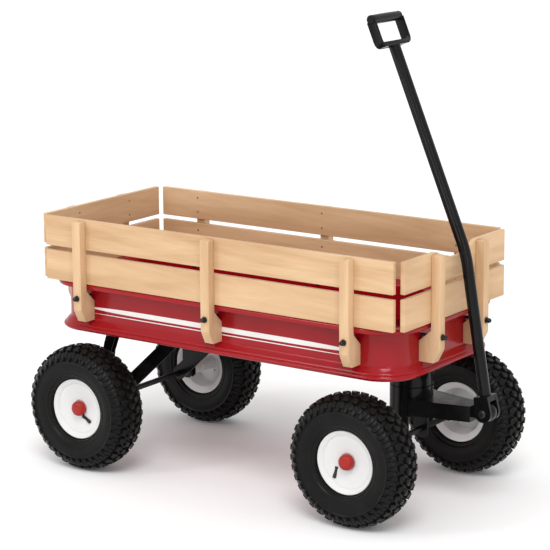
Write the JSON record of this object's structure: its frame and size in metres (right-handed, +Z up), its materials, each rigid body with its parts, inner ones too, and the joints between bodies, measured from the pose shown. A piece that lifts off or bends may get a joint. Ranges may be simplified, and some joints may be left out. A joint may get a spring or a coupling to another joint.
{
  "type": "kids pull wagon",
  "caption": "Child's pull wagon: pressed steel tray with slatted timber sides, pneumatic wheels, a steered front axle and a hinged pull handle.",
  "frame": {"origin": "on the ground at the bottom centre of the wagon's bounding box", "axes": "+X is forward, towards the pull handle; +Y is the wagon's left; +Z is up"},
  "size_m": [0.9782, 0.493, 0.9328],
  "materials": {
    "tray_paint": "gloss red enamel on pressed steel",
    "timber": "pale close-grained timber, clear satin lacquer",
    "gear_paint": "gloss black paint on steel",
    "fastener": "black zinc plated steel",
    "grip_plastic": "moulded black plastic",
    "tyre": "black rubber, knobbly tread and smooth sidewall",
    "rim_paint": "gloss white paint on pressed steel",
    "bush_nylon": "natural nylon",
    "cap_plastic": "gloss red plastic"
  },
  "bodies": {
    "chassis": {"tray": "tray_paint", "side_slat_lower_right": "timber", "side_slat_lower_left": "timber", "side_slat_upper_right": "timber", "side_slat_upper_left": "timber", "rear_slat_lower": "timber", "rear_slat_upper": "timber", "front_slat_lower": "timber", "front_slat_upper": "timber", "side_stake_right_rear": "timber", "side_stake_right_middle": "timber", "side_stake_right_front": "timber", "side_stake_left_rear": "timber", "side_stake_left_middle": "timber", "side_stake_left_front": "timber", "rear_stake_right": "timber", "rear_stake_left": "timber", "front_stake_right": "timber", "front_stake_left": "timber", "side_bolt_right_rear": "fastener", "side_bolt_right_middle": "fastener", "side_bolt_right_front": "fastener", "side_bolt_left_rear": "fastener", "side_bolt_left_middle": "fastener", "side_bolt_left_front": "fastener", "rear_bolt_right": "fastener", "rear_bolt_left": "fastener", "front_bolt_right": "fastener", "front_bolt_left": "fastener", "rear_hanger_right": "gear_paint", "rear_hanger_left": "gear_paint", "rear_brace_right": "gear_paint", "rear_brace_left": "gear_paint", "rear_axle": "fastener", "front_bolster": "gear_paint", "kingpin": "fastener", "axle_cap_rear_right": "cap_plastic", "axle_cap_rear_left": "cap_plastic"},
    "steering": {"steering_yoke": "gear_paint", "front_axle": "fastener", "tongue": "gear_paint", "hinge_pin": "fastener", "axle_cap_front_right": "cap_plastic", "axle_cap_front_left": "cap_plastic"},
    "handle": {"handle_fork": "gear_paint", "handle_shaft": "gear_paint", "grip_frame": "gear_paint", "grip_bar": "grip_plastic"},
    "wheel_rear_right": {"tyre_rear_right": "tyre", "rim_rear_right": "rim_paint", "bush_rear_right": "bush_nylon"},
    "wheel_rear_left": {"tyre_rear_left": "tyre", "rim_rear_left": "rim_paint", "bush_rear_left": "bush_nylon"},
    "wheel_front_right": {"tyre_front_right": "tyre", "rim_front_right": "rim_paint", "bush_front_right": "bush_nylon"},
    "wheel_front_left": {"tyre_front_left": "tyre", "rim_front_left": "rim_paint", "bush_front_left": "bush_nylon"}
  },
  "joints": [
    {"name": "steer", "type": "hinge", "parent": "chassis", "child": "steering", "pos_m": [0.30365, 0, 0.228], "axis": [0, 0, 1], "range_deg": [-20, 20]},
    {"name": "handle_pitch", "type": "hinge", "parent": "steering", "child": "handle", "pos_m": [0.47065, 0, 0.197], "axis": [0, 1, 0], "range_deg": [0, 118]},
    {"name": "wheel_rear_right_spin", "type": "hinge", "parent": "chassis", "child": "wheel_rear_right", "pos_m": [-0.34035, -0.204, 0.128], "axis": [0, 1, 0], "continuous": true},
    {"name": "wheel_rear_left_spin", "type": "hinge", "parent": "chassis", "child": "wheel_rear_left", "pos_m": [-0.34035, 0.204, 0.128], "axis": [0, 1, 0], "continuous": true},
    {"name": "wheel_front_right_spin", "type": "hinge", "parent": "steering", "child": "wheel_front_right", "pos_m": [0.30365, -0.204, 0.128], "axis": [0, 1, 0], "continuous": true},
    {"name": "wheel_front_left_spin", "type": "hinge", "parent": "steering", "child": "wheel_front_left", "pos_m": [0.30365, 0.204, 0.128], "axis": [0, 1, 0], "continuous": true}
  ]
}
